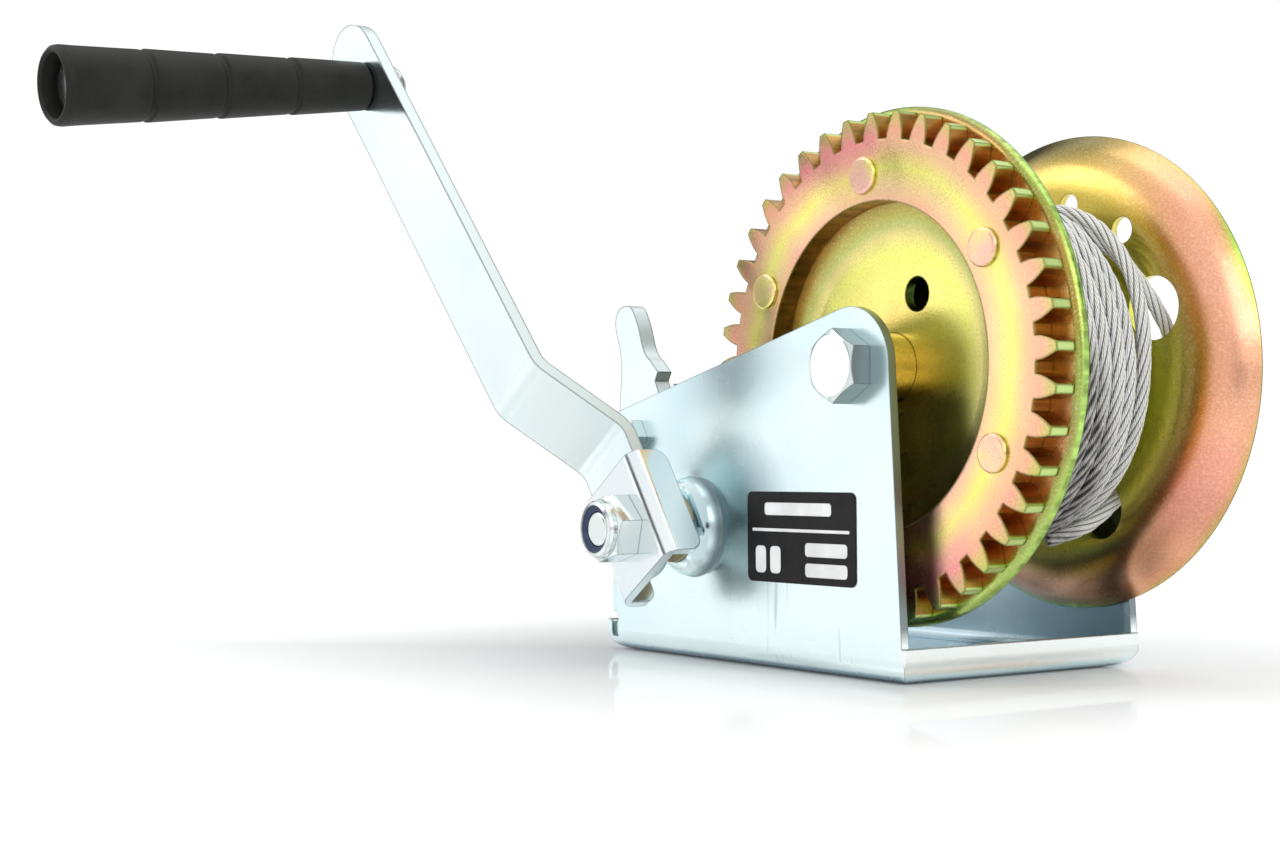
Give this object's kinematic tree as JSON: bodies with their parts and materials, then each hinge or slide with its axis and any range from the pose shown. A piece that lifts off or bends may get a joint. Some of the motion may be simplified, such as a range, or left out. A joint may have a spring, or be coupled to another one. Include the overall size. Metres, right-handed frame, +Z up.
{
  "type": "boat trailer winch",
  "caption": "Hand-cranked geared winch: folded plate frame, flanged drum with wound wire rope, gear ring and pinion, pawl lever, cranked arm with turning grip.",
  "frame": {"origin": "centre of the four base bolt holes, on the underside of the base", "axes": "+Z up, +X towards the rope drum and the pull of the rope, +Y from the crank side to the far side plate"},
  "size_m": [0.2494, 0.2589, 0.1936],
  "materials": {
    "zinc_sheet": "bright zinc, satin",
    "zinc_hardware": "bright zinc, polished",
    "yellow_zinc": "yellow chromate, satin",
    "gear_steel": "oiled steel",
    "spring_steel": "bright",
    "rope_steel": "galvanised strands",
    "bush_metal": "oiled sintered bronze",
    "ferrule_metal": "satin",
    "grip_plastic": "satin black",
    "nylon": "satin blue",
    "label_film": "satin black film"
  },
  "bodies": {
    "base": {"frame": "zinc_sheet", "label": "label_film", "axle_bolt": "zinc_hardware", "axle_nut": "zinc_hardware", "axle_nut_ring": "nylon", "axle_washer": "zinc_hardware", "axle_sleeve": "yellow_zinc", "shaft_bush_near": "bush_metal", "shaft_bush_far": "bush_metal", "pawl_bolt": "zinc_hardware", "pawl_bush": "bush_metal", "pawl_washer": "zinc_hardware", "pawl_nut": "zinc_hardware"},
    "drum": {"gear_ring": "yellow_zinc", "gear_rivets": "yellow_zinc", "flange_gear_side": "yellow_zinc", "flange_far_side": "yellow_zinc", "drum_barrel": "yellow_zinc", "rope_winding": "rope_steel", "rope_tail": "rope_steel", "rope_inner_end": "rope_steel", "rope_ferrule": "ferrule_metal"},
    "crank": {"crank_shaft": "zinc_hardware", "pinion": "gear_steel", "ratchet_wheel": "gear_steel", "shaft_clip": "zinc_hardware", "crank_washer": "zinc_hardware", "crank_arm": "zinc_sheet", "crank_bracket": "zinc_sheet", "crank_nut": "zinc_hardware", "crank_nut_ring": "nylon", "grip_bolt": "zinc_hardware", "grip_nut": "zinc_hardware", "grip_nut_ring": "nylon"},
    "handle": {"grip": "grip_plastic"},
    "catch": {"pawl": "zinc_sheet", "pawl_spring": "spring_steel"}
  },
  "joints": [
    {"name": "drum_spin", "type": "hinge", "parent": "base", "child": "drum", "pos_m": [0.0475, 0, 0.081], "axis": [0, 1, 0], "continuous": true},
    {"name": "crank_spin", "type": "hinge", "parent": "base", "child": "crank", "pos_m": [-0.0225, 0, 0.038], "axis": [0, 1, 0], "continuous": true},
    {"name": "grip_spin", "type": "hinge", "parent": "crank", "child": "handle", "pos_m": [-0.11625, -0.10055, 0.1739], "axis": [0.0732, -0.9917, -0.1061], "continuous": true},
    {"name": "pawl_tilt", "type": "hinge", "parent": "base", "child": "catch", "pos_m": [-0.0515, 0, 0.064], "axis": [0, -1, 0], "range_deg": [0, 28], "stiffness_Nm_per_rad": 0.05, "springref_deg": -22.92}
  ],
  "couplings": [
    {"joint": "crank_spin", "follows": "drum_spin", "ratio": -3.4167}
  ]
}
